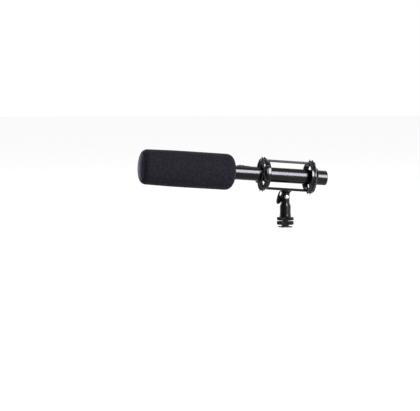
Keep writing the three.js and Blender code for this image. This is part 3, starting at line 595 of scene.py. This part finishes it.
def discs():
    """The lower disc with a short collar on top, and the thinner upper disc."""
    wheel = with_shell(knurled_disc(5.8), pipe(STUD_BORE, 4.8, 5.7, 6.8, 64))
    piece("clamp_disc", wheel, DISC_BLACK, "clamp_wheel_body", ["clamp_wheel"],
          shift(0, 0, 4.2), 20)
    piece("lock_disc", knurled_disc(4.9), DISC_BLACK, "lock_nut_body", ["lock_nut"],
          shift(0, 0, 11.3), 20)


# ---- Post

def swivel_sleeve():
    """A sleeve over the stud, widening towards its foot and shouldered at the top."""
    body = turned([
        (0, 11.8), (5.0, 11.8), (5.0, 0), (9.15, 0), (9.1, 2.2), (8.65, 5.4), (8.65, 17.4),
        (8.3, 18.8), (7.75, 19.3), (7.4, 20.1), (7.1, 21.5), (4.8, 21.5), (4.8, 14.5), (0, 14.5)])
    piece("post_sleeve", softened(body, 0.3), CAST_BLACK, "post", ["swivel_sleeve"],
          shift(0, 0, 16.5))


def yoke():
    """A fork with round ears for the bolt, on a stem that stands in the sleeve."""
    foot, ear, half_width = -9.5, 6.4, 7.9
    ears = outline_block(
        [(-half_width, foot), (half_width, foot), (half_width, -2)]
        + arc((0, 0), ear, 0, 180, 32) + [(-half_width, -2)], 16)
    column = rod(6.85, foot, ear, 96)
    body = joined(shared(column, ears), rod(4.5, -16.2, -8))
    gap = block(16, 7.8, 16, (0, 0, 1.5))
    drill = placed(rod(BOLT_BORE, -9, 9, 32), ALONG_Y)
    head_seat = placed(rod(3.6, -9, -6.15), ALONG_Y)
    lever_seat = placed(rod(4.5, 6.15, 9), ALONG_Y)
    body = cut(body, gap, drill, head_seat, lever_seat)
    piece("fork", softened(body, 0.3, 2, 35), CAST_BLACK, "post", ["yoke"], PIVOT)


def pivot_bolt():
    """The bolt through fork, tongue and lever, with its three washers."""
    bolt = turned([
        (0, -8.65), (1.9, -8.45), (3.0, -7.9), (3.3, -7.3), (3.3, -6.45), (BOLT_RADIUS, -6.45),
        (BOLT_RADIUS, 11.8), (0, 11.8)], 64)
    piece("pivot_pin", softened(bolt, 0.12, 2, 25), STEEL, "post", ["pivot_bolt"],
          PIVOT @ ALONG_Y)
    for name, middle, half, outer, finish in (
            ("near_friction_washer", -3.2, 0.4, 5, NYLON),
            ("far_friction_washer", 3.2, 0.4, 5, NYLON),
            ("lever_washer", 6.95, 0.5, 4.2, STEEL)):
        ring = pipe(BOLT_BORE, outer, middle - half, middle + half)
        piece(name + "_ring", softened(ring, 0.12, 2), finish, "post", [name], PIVOT @ ALONG_Y)


def lock_lever():
    """A leaf-shaped paddle beside a round hub, with a nut inside the hub."""
    middle, bore, floor = 11.75, 3.0, 12.45
    hub = placed(turned([
        (0, floor), (bore, floor), (bore, 7.75), (3.4, 7.75), (4.2, 8.55), (4.2, 12.75),
        (3.4, 13.55), (0, 13.55)], 64), ALONG_Y)
    leaf = smooth_loop([
        (-4.8, 8.8), (-6.55, 6.1), (-8.0, 3.0), (-9.05, -0.2), (-9.8, -3.2), (-10.4, -6.6),
        (-10.1, -9.4), (-8.7, -11.6), (-6.4, -10.9), (-4.2, -9.2), (-1.0, -3.4), (-1.0, 1.2),
        (-5.2, 1.4), (-5.6, 4.6), (-4.6, 7.5)])
    paddle = placed(softened(outline_block(leaf, 3.6), 1.1, 5, 50), shift(0, middle, 0))
    body = joined(hub, cut(paddle, placed(rod(bore, 6, floor), ALONG_Y)))
    piece("tilt_lever", softened(body, 0.2, 2, 50), NYLON, "lever", ["lock_lever"], PIVOT)
    nut = pipe(BOLT_BORE, 2.7, 7.75, 12.15)
    piece("lever_nut", nut, STEEL, "lever", ["lever_insert"], PIVOT @ ALONG_Y)


# ---- Cage

def cross_screw():
    """A countersunk screw with a cross recess; its head is level with zero height."""
    body = turned([(0, -5.6), (1.1, -5.6), (1.1, -1.3), (2.2, 0), (0, 0)], 32)
    return cut(body, block(2.4, 0.5, 1.4), block(0.5, 2.4, 1.4))


def bracket():
    """A round flange under the lower bar, with the tongue that the bolt goes through."""
    flange = turned([(0, 7.0), (6.75, 7.0), (7.6, 8.0), (9.05, 8.8), (9.05, 9.7), (0, 9.7)])
    half_width, root = 6.2, 8.4
    tongue = outline_block(
        [(-half_width, root)] + arc((0, 0), half_width, 180, 360, 32) + [(half_width, root)], 5)
    body = cut(joined(flange, tongue), placed(rod(BOLT_BORE, -4, 4, 32), ALONG_Y))
    piece("tilt_bracket", softened(body, 0.25, 2, 35), MATT_BLACK, "cage", ["cage_bracket"], HEAD)


def bar(name, node, place, finish):
    """A flat bar with rounded long edges."""
    body = block(2 * BAR_REACH, BAR_WIDTH, BAR_THICKNESS, (0, 0, -BAR_THICKNESS / 2))
    rounded_along(body, 0, 0.2 * BAR_THICKNESS)
    piece(name, softened(body, 0.3, 2, 60), finish, "cage", [node], place)


def horn(lean, turn):
    """A blunt horn on the rim, leaning along the tube and turned round it to its place."""
    spike = turned([
        (0, 0), (HORN_RADIUS, 0), (0.95 * HORN_RADIUS, 3.5), (0.75 * HORN_RADIUS, 5.2),
        (0.4 * HORN_RADIUS, 5.8), (0, 5.95)], 20)
    slope = Matrix.Identity(4)
    slope[0][2] = lean
    root = HOOP_OUTER - 1.4 - BAND_LOOP
    spike.transform(shift(HORN_PLACE, 0, BAND_LOOP) @ slope @ shift(0, 0, root))
    return placed(spike, Matrix.Rotation(turn, 4, "X"))


def hoop(name, node, side, lean, groove_start, groove_end):
    """A grooved hoop with a seat for each bar and two horns for each band."""
    outer, inner, depth, flange = HOOP_OUTER, HOOP_INNER, GROOVE_DEPTH, 1.1
    ring = turned([
        (inner, HOOP_START), (outer - 0.7, HOOP_START), (outer, HOOP_START + 0.7),
        (outer, groove_start), (outer - depth, groove_start + 0.5),
        (outer - depth - 0.2, (groove_start + groove_end) / 2), (outer - depth, groove_end - 0.5),
        (outer, groove_end), (outer - 0.1, HOOP_FACE - flange), (outer - flange, HOOP_FACE),
        (inner, HOOP_FACE)], 144)
    softened(ring, 0.25)
    ring.transform(ALONG_X)
    seat_floor = outer - BAR_THICKNESS - FIT
    pads, seats = [], []
    for turn in (Matrix.Identity(4), HALF_TURN):
        pad = block(5.2, 11, 5.5, (HOOP_START + 2.6, 0, seat_floor + 0.15))
        seat = block(6.3, BAR_WIDTH + 2 * FIT, 6, (HOOP_START + 1.15, 0, seat_floor + 3))
        pads.append(placed(softened(pad, 0.4), turn))
        seats.append(placed(seat, turn))
    body = cut(joined(ring, *pads), *seats)
    for normal in BAND_NORMALS:
        for end in (1, -1):
            with_shell(body, horn(lean, normal + end * HORN_SPAN))
    if side < 0:
        bmesh.ops.scale(body, vec=(-1, 1, 1), verts=body.verts)
        bmesh.ops.reverse_faces(body, faces=body.faces)
    piece(name, body, GLOSS_BLACK, "cage", [node], MICROPHONE, 30)


def band_point(angle, radius, x):
    """A point at an angle from the top, round the tube's axis."""
    return Vector((x, -radius * math.sin(angle), radius * math.cos(angle)))


def band_end(normal, end, plane, steps=8):
    """A band's end drops over the rim and turns round its horn."""
    half = BAND_SPREAD / 2

    def turn(offset):
        return normal + end * (HORN_SPAN + offset / BAND_LOOP)

    points = [band_point(turn(half), BAND_EDGE, plane)]
    for i in range(steps + 1):
        sweep = i * math.pi / steps
        points.append(band_point(turn(half * math.cos(sweep)), BAND_LOOP,
                                 HORN_PLACE - half * math.sin(sweep)))
    points.append(band_point(turn(-half), BAND_EDGE, plane))
    return points


def band(name, node, side, index):
    """A closed loop of round cord from one horn to another; every second one lies outside."""
    plane = BAND_PLANE + (index % 2) * (2 * BAND_RADIUS + FIT)
    normal = BAND_NORMALS[index]
    points = band_end(normal, 1, plane) + band_end(normal, -1, plane)[::-1]
    path = bpy.data.curves.new(name, "CURVE")
    path.dimensions = "3D"
    line = path.splines.new("NURBS")
    line.points.add(len(points) - 1)
    for point, spot in zip(line.points, points):
        point.co = (side * spot.x * MM, spot.y * MM, spot.z * MM, 1)
    line.use_cyclic_u = True
    line.order_u = 3
    line.resolution_u = 3
    path.bevel_depth = BAND_RADIUS * MM
    path.bevel_resolution = 4
    curve = bpy.data.objects.new(name + "_path", path)
    bpy.context.scene.collection.objects.link(curve)
    cord = bpy.data.meshes.new_from_object(curve)
    body = bmesh.new()
    body.from_mesh(cord)
    bpy.data.objects.remove(curve)
    bpy.data.curves.remove(path)
    bpy.data.meshes.remove(cord)
    bmesh.ops.remove_doubles(body, verts=body.verts, dist=1e-6)
    bmesh.ops.recalc_face_normals(body, faces=body.faces)
    piece(name, body, RUBBER, "cage", [node], MICROPHONE, 60)


def cage():
    """The bracket, two bars, two hoops, six screws and eight bands that tilt together."""
    bracket()
    top = MICROPHONE @ shift(0, 0, HOOP_OUTER)
    bottom = MICROPHONE @ shift(0, 0, -HOOP_OUTER) @ HALF_TURN
    # The two bars are alike: the upper gets a paler black as painted sheen, the lower the darkest
    # black as painted shade.
    bar("upper_bar", "top_bar", top, PAINTED_SHEEN_BLACK)
    bar("lower_bar", "bottom_bar", bottom, MATT_BLACK)
    hoop("front_ring", "front_hoop", -1, HORN_LEAN, 38.8, 40.2)
    hoop("rear_ring", "rear_hoop", 1, -HORN_LEAN, 37.4, 39.4)
    inside = BAR_THICKNESS - SCREW_SINK - HOOP_OUTER
    for end, side in (("front", -1), ("rear", 1)):
        outward = shift(side * SCREW_PLACE, 0, -SCREW_SINK)
        for name, node, place in (
                (f"upper_{end}_screw", f"top_screw_{end}", top @ outward),
                (f"lower_{end}_screw", f"bottom_screw_{end}", bottom @ outward),
                (f"bracket_{end}_screw", f"bracket_screw_{end}",
                 MICROPHONE @ shift(side * 3.6, 0, inside))):
            piece(name, cross_screw(), DARK_SCREW, "cage", [node], place)
        for index in range(4):
            band(f"{end}_elastic_{index + 1}", f"{end}_band_{index + 1}", side, index)


# ---- Microphone

def sleeve():
    """The plain rear tube over the battery."""
    body = pipe(TUBE_BORE, GRIP, -SEAM + FIT, REAR, 128)
    piece("battery_tube", softened(body, 0.45, 4), TUBE_BLACK, "sleeve", ["battery_sleeve"],
          MICROPHONE @ ALONG_X)


def front_body():
    """The front tube with its spigot, and its holes for the switch, the lamp and the screw."""
    wall = 1.2
    outer = TUBE_BORE - FIT
    inner = outer - wall
    spigot_end = 9 - SEAM
    step = -SEAM - wall
    body = turned([
        (TUBE_BORE, -BODY_FRONT), (TUBE, -BODY_FRONT), (TUBE, -SEAM), (outer, -SEAM),
        (outer, spigot_end), (inner, spigot_end), (inner, step), (TUBE_BORE, step)], 128)
    softened(body, 0.2)
    body.transform(ALONG_X)
    window = block(13, 5.5, 6, (SWITCH_PLACE, 0, TUBE))
    lamp_hole = placed(rod(1.5, 0, 14, 32), shift(LAMP_PLACE, 0, 0))
    grub_hole = placed(rod(1.5, -14, 0, 32), shift(GRUB_PLACE, 0, 0))
    piece("front_tube", cut(body, window, lamp_hole, grub_hole), TUBE_BLACK, "microphone",
          ["body_tube"], MICROPHONE)


def switch():
    """The switch's plate and slider, the lamp's lens, and the grub screw in the tube's belly."""
    sunk = TUBE - 0.35
    plate = rounded_along(block(16, 7, 1.9, (SWITCH_PLACE, 0, sunk)), 2, 1.5)
    tube = placed(rod(TUBE + 0.1, -96, -50, 96), ALONG_X)
    skirt = block(12.4, 4.9, 1.9, (SWITCH_PLACE, 0, sunk))
    slot = block(10.2, 4.2, 6, (SWITCH_PLACE, 0, TUBE))
    body = cut(joined(cut(plate, tube), skirt), slot)
    piece("switch_plate", softened(body, 0.15, 2, 40), NYLON, "microphone", ["switch_bezel"],
          MICROPHONE)
    slider = block(6.6, 3.6, 2.35, (SLIDER_PLACE, 0, TUBE - 0.13))
    ridges = [block(1.5, 3.6, 1.85, (SLIDER_PLACE + side, 0, TUBE + 0.575))
              for side in (-2.55, 2.55)]
    piece("switch_slider", softened(joined(slider, *ridges), 0.15, 2, 40), NYLON, "switch",
          ["low_cut_switch"], MICROPHONE)
    lamp = turned([(0, TUBE_BORE), (1.2, TUBE_BORE), (1.2, TUBE + 0.3), (0.9, TUBE + 0.55),
                   (0.45, TUBE + 0.68), (0, TUBE + 0.7)], 32)
    piece("lamp_lens", lamp, LENS, "microphone", ["status_light"],
          MICROPHONE @ shift(LAMP_PLACE, 0, 0))
    grub = cut(rod(1.2, TUBE_BORE, TUBE, 32), rod(0.6, TUBE - 0.8, TUBE + 1, 6))
    piece("grub_screw", softened(grub, 0.08, 2, 40), DARK_SCREW, "microphone", ["set_screw"],
          MICROPHONE @ shift(GRUB_PLACE, 0, 0) @ HALF_TURN)


def connector():
    """A round socket with three pins, two beside its middle and one opposite."""
    bore, wall, face, floor = 8.05, 8.95, 64.5, 49.5
    shell = turned([(0, 45.5), (wall, 45.5), (wall, face), (bore, face), (bore, floor),
                    (0, floor)], 96)
    piece("socket_shell", softened(shell, 0.2), NYLON, "microphone", ["connector_shell"],
          MICROPHONE @ ALONG_X)
    circle, spread = 4.3, math.radians(62)
    side, height = circle * math.sin(spread), circle * math.cos(spread)
    for number, (y, z) in enumerate([(-side, height), (side, height), (0, -circle)], 1):
        pin = turned([(0, 45.8), (1.2, 45.8), (1.2, 60.7), (0.95, 61.25), (0.5, 61.5),
                      (0, 61.5)], 32)
        piece(f"socket_pin_{number}", pin, BRASS, "microphone", [f"connector_pin_{number}"],
              MICROPHONE @ shift(0, y, z) @ ALONG_X)


def foam():
    """A slight barrel with a nearly flat front, a domed rear and a blind bore."""
    slim, full, bore = 27.3, 28.3, 11.3
    edge, edge_place = 8.7, -229.9
    flat, bulge = 18.6, 1.3
    barrel_start, barrel_length = -229.1, 122.8
    dome_reach, dome_power = 17.0, 3.3
    rear_face, bore_length = -89.2, 126.1
    lump_size, lump_depth = 1.6, 0.1

    def height(share):
        return dome_reach * (1 - share ** dome_power) ** (1 / dome_power)

    crown = [(r, edge_place - edge - bulge * (1 - (r / flat) ** 2)) for r in range(0, 17, 2)]
    front_edge = arc((flat, edge_place), edge, -90, 0, 24)
    barrel = []
    for i in range(1, 90):
        swell = math.sin(min(1.0, i / 45) * math.pi / 2)
        barrel.append((slim + (full - slim) * swell, barrel_start + i / 90 * barrel_length))
    dome = []
    for i in range(1, 41):
        share = 1 - (1 - bore / full) * (i / 40) ** 2
        dome.append((full * share, rear_face + height(share) - height(bore / full)))
    inside = [(bore, rear_face - i * bore_length / 60) for i in range(1, 61)]
    end = [(r, rear_face - bore_length) for r in (8, 5, 2, 0)]
    body = turned(crown + front_edge + barrel + dome + inside + end, 224)
    body.normal_update()
    for vert in body.verts:
        lump = noise.noise(vert.co / (lump_size * MM)) - 1
        vert.co += vert.normal * lump * lump_depth * MM
    made = piece("foam_windscreen", body, FOAM, "foam", ["windscreen"], MICROPHONE @ ALONG_X, 80)


def inside_pieces():
    """The hidden pieces keep their CAD shapes."""
    for node, finish in {
            "interference_tube": TUBE_BLACK, "tip_cap": TUBE_BLACK, "acoustic_screen": GAUZE,
            "capsule": BRASS, "capsule_ring": RUBBER, "circuit_board": BOARD,
            "inner_chassis": NYLON, "battery": WRAP, "front_contact": STEEL,
            "rear_contact": STEEL, "output_transformer": GAUZE, "thread_insert": BRASS}.items():
        dress(node, finish)


# ---- Studio

def studio_floor():
    """A pale floor that keeps the object's shadow: white to the camera; in a reflection it is
    white to the right and behind, and dimmer where the camera stands."""
    bm = bmesh.new()
    bmesh.ops.create_grid(bm, x_segments=1, y_segments=1, size=30)
    made = as_object(bm, "studio_floor")
    material = bpy.data.materials.new("white_sweep_paper")
    material.use_nodes = True
    tree = material.node_tree
    tree.nodes.clear()
    rays = add_node(tree, "ShaderNodeLightPath").outputs
    seen = reckoned(tree, "MAXIMUM", rays["Is Camera Ray"], rays["Is Glossy Ray"])
    seen = reckoned(tree, "MAXIMUM", seen, rays["Is Transmission Ray"])
    beyond = reach_along(tree, object_place(tree), (0.95, 0.3, 0.0))
    level = stretched(tree, beyond, -0.4, 0.4, 0.1, 1.0)
    white = reckoned(tree, "MAXIMUM", rays["Is Camera Ray"], level)
    paper = add_node(tree, "ShaderNodeBsdfDiffuse", {"Color": colour("#ffffff")})
    grey = add_node(tree, "ShaderNodeBsdfDiffuse", {"Color": colour("#7c7c7c")})
    glow = add_node(tree, "ShaderNodeEmission", {"Color": colour("#ffffff"), "Strength": 0.88})
    lit = add_node(tree, "ShaderNodeAddShader", {
        0: grey.outputs["BSDF"], 1: glow.outputs["Emission"]})
    faded = add_node(tree, "ShaderNodeMixShader", {0: white, 2: lit.outputs["Shader"]})
    both = add_node(tree, "ShaderNodeMixShader", {
        0: seen, 1: paper.outputs["BSDF"], 2: faded.outputs["Shader"]})
    add_node(tree, "ShaderNodeOutputMaterial", {"Surface": both.outputs["Shader"]})
    made.data.materials.append(material)


def studio_world():
    """White behind the object; the side the camera stands on is dim, as in a studio."""
    world = bpy.data.worlds.new("studio")
    bpy.context.scene.world = world
    world.use_nodes = True
    tree = world.node_tree
    tree.nodes.clear()
    seen = add_node(tree, "ShaderNodeLightPath").outputs["Is Camera Ray"]
    direction = add_node(tree, "ShaderNodeTexCoord").outputs["Generated"]
    level = stretched(
        tree, reach_along(tree, direction, (0.85, 0.52, 0.0)), -0.1, 0.75, 0.08, 1.0)
    white = reckoned(tree, "MAXIMUM", seen, level)
    sky = add_node(tree, "ShaderNodeBackground", {"Color": colour("#ffffff"), "Strength": white})
    add_node(tree, "ShaderNodeOutputWorld", {"Surface": sky.outputs["Background"]})


def softbox(name, direction, distance, width, height, radiance):
    """A flat softbox that faces the object from a direction, its distance and size in metres."""
    toward = Vector(direction).normalized()
    data = bpy.data.lights.new(name, "AREA")
    data.shape = "RECTANGLE"
    data.size = width
    data.size_y = height
    data.energy = radiance * math.pi * width * height
    data.color = colour("#f6f5ff")[:3]
    made = bpy.data.objects.new(name, data)
    made.location = Vector((-0.02, 0, 0.07)) + toward * distance
    made.rotation_euler = toward.to_track_quat("Z", "Y").to_euler()
    made.visible_camera = False
    bpy.context.scene.collection.objects.link(made)


def camera():
    """The photograph's view: from the near side, a little in front, with a long lens."""
    azimuth, elevation, distance = math.radians(-17.5), math.radians(3), 3.0
    width, height, pixel = 420, 411, 1.575 * MM
    post_column, disc_row, disc_height = 285.3, 224.6, 4.2
    across = Vector((math.cos(azimuth), math.sin(azimuth), 0))
    ahead = Vector((-math.sin(azimuth), math.cos(azimuth), 0))
    looking = ahead * math.cos(elevation) - Vector((0, 0, math.sin(elevation)))
    aim = across * (width / 2 - post_column) * pixel + Vector(
        (0, 0, disc_height * MM + (disc_row - height / 2) * pixel))
    data = bpy.data.cameras.new("camera")
    data.sensor_width = 36
    data.lens = data.sensor_width * distance / (width * pixel)
    data.clip_end = 100
    made = bpy.data.objects.new("camera", data)
    made.location = aim - looking * distance
    made.rotation_euler = looking.to_track_quat("-Z", "Y").to_euler()
    bpy.context.scene.collection.objects.link(made)
    bpy.context.scene.camera = made


camera()
shoe_foot()
discs()
swivel_sleeve()
yoke()
pivot_bolt()
lock_lever()
cage()
sleeve()
front_body()
switch()
connector()
foam()
inside_pieces()
studio_floor()
studio_world()
softbox("key", (0.34, -0.81, 0.436), distance=4.0, width=1.35, height=3.0, radiance=26)
softbox("rim", (-0.6, 0.78, 0.15), distance=1.6, width=0.8, height=0.8, radiance=4)
bpy.context.scene.view_settings.view_transform = "Standard"
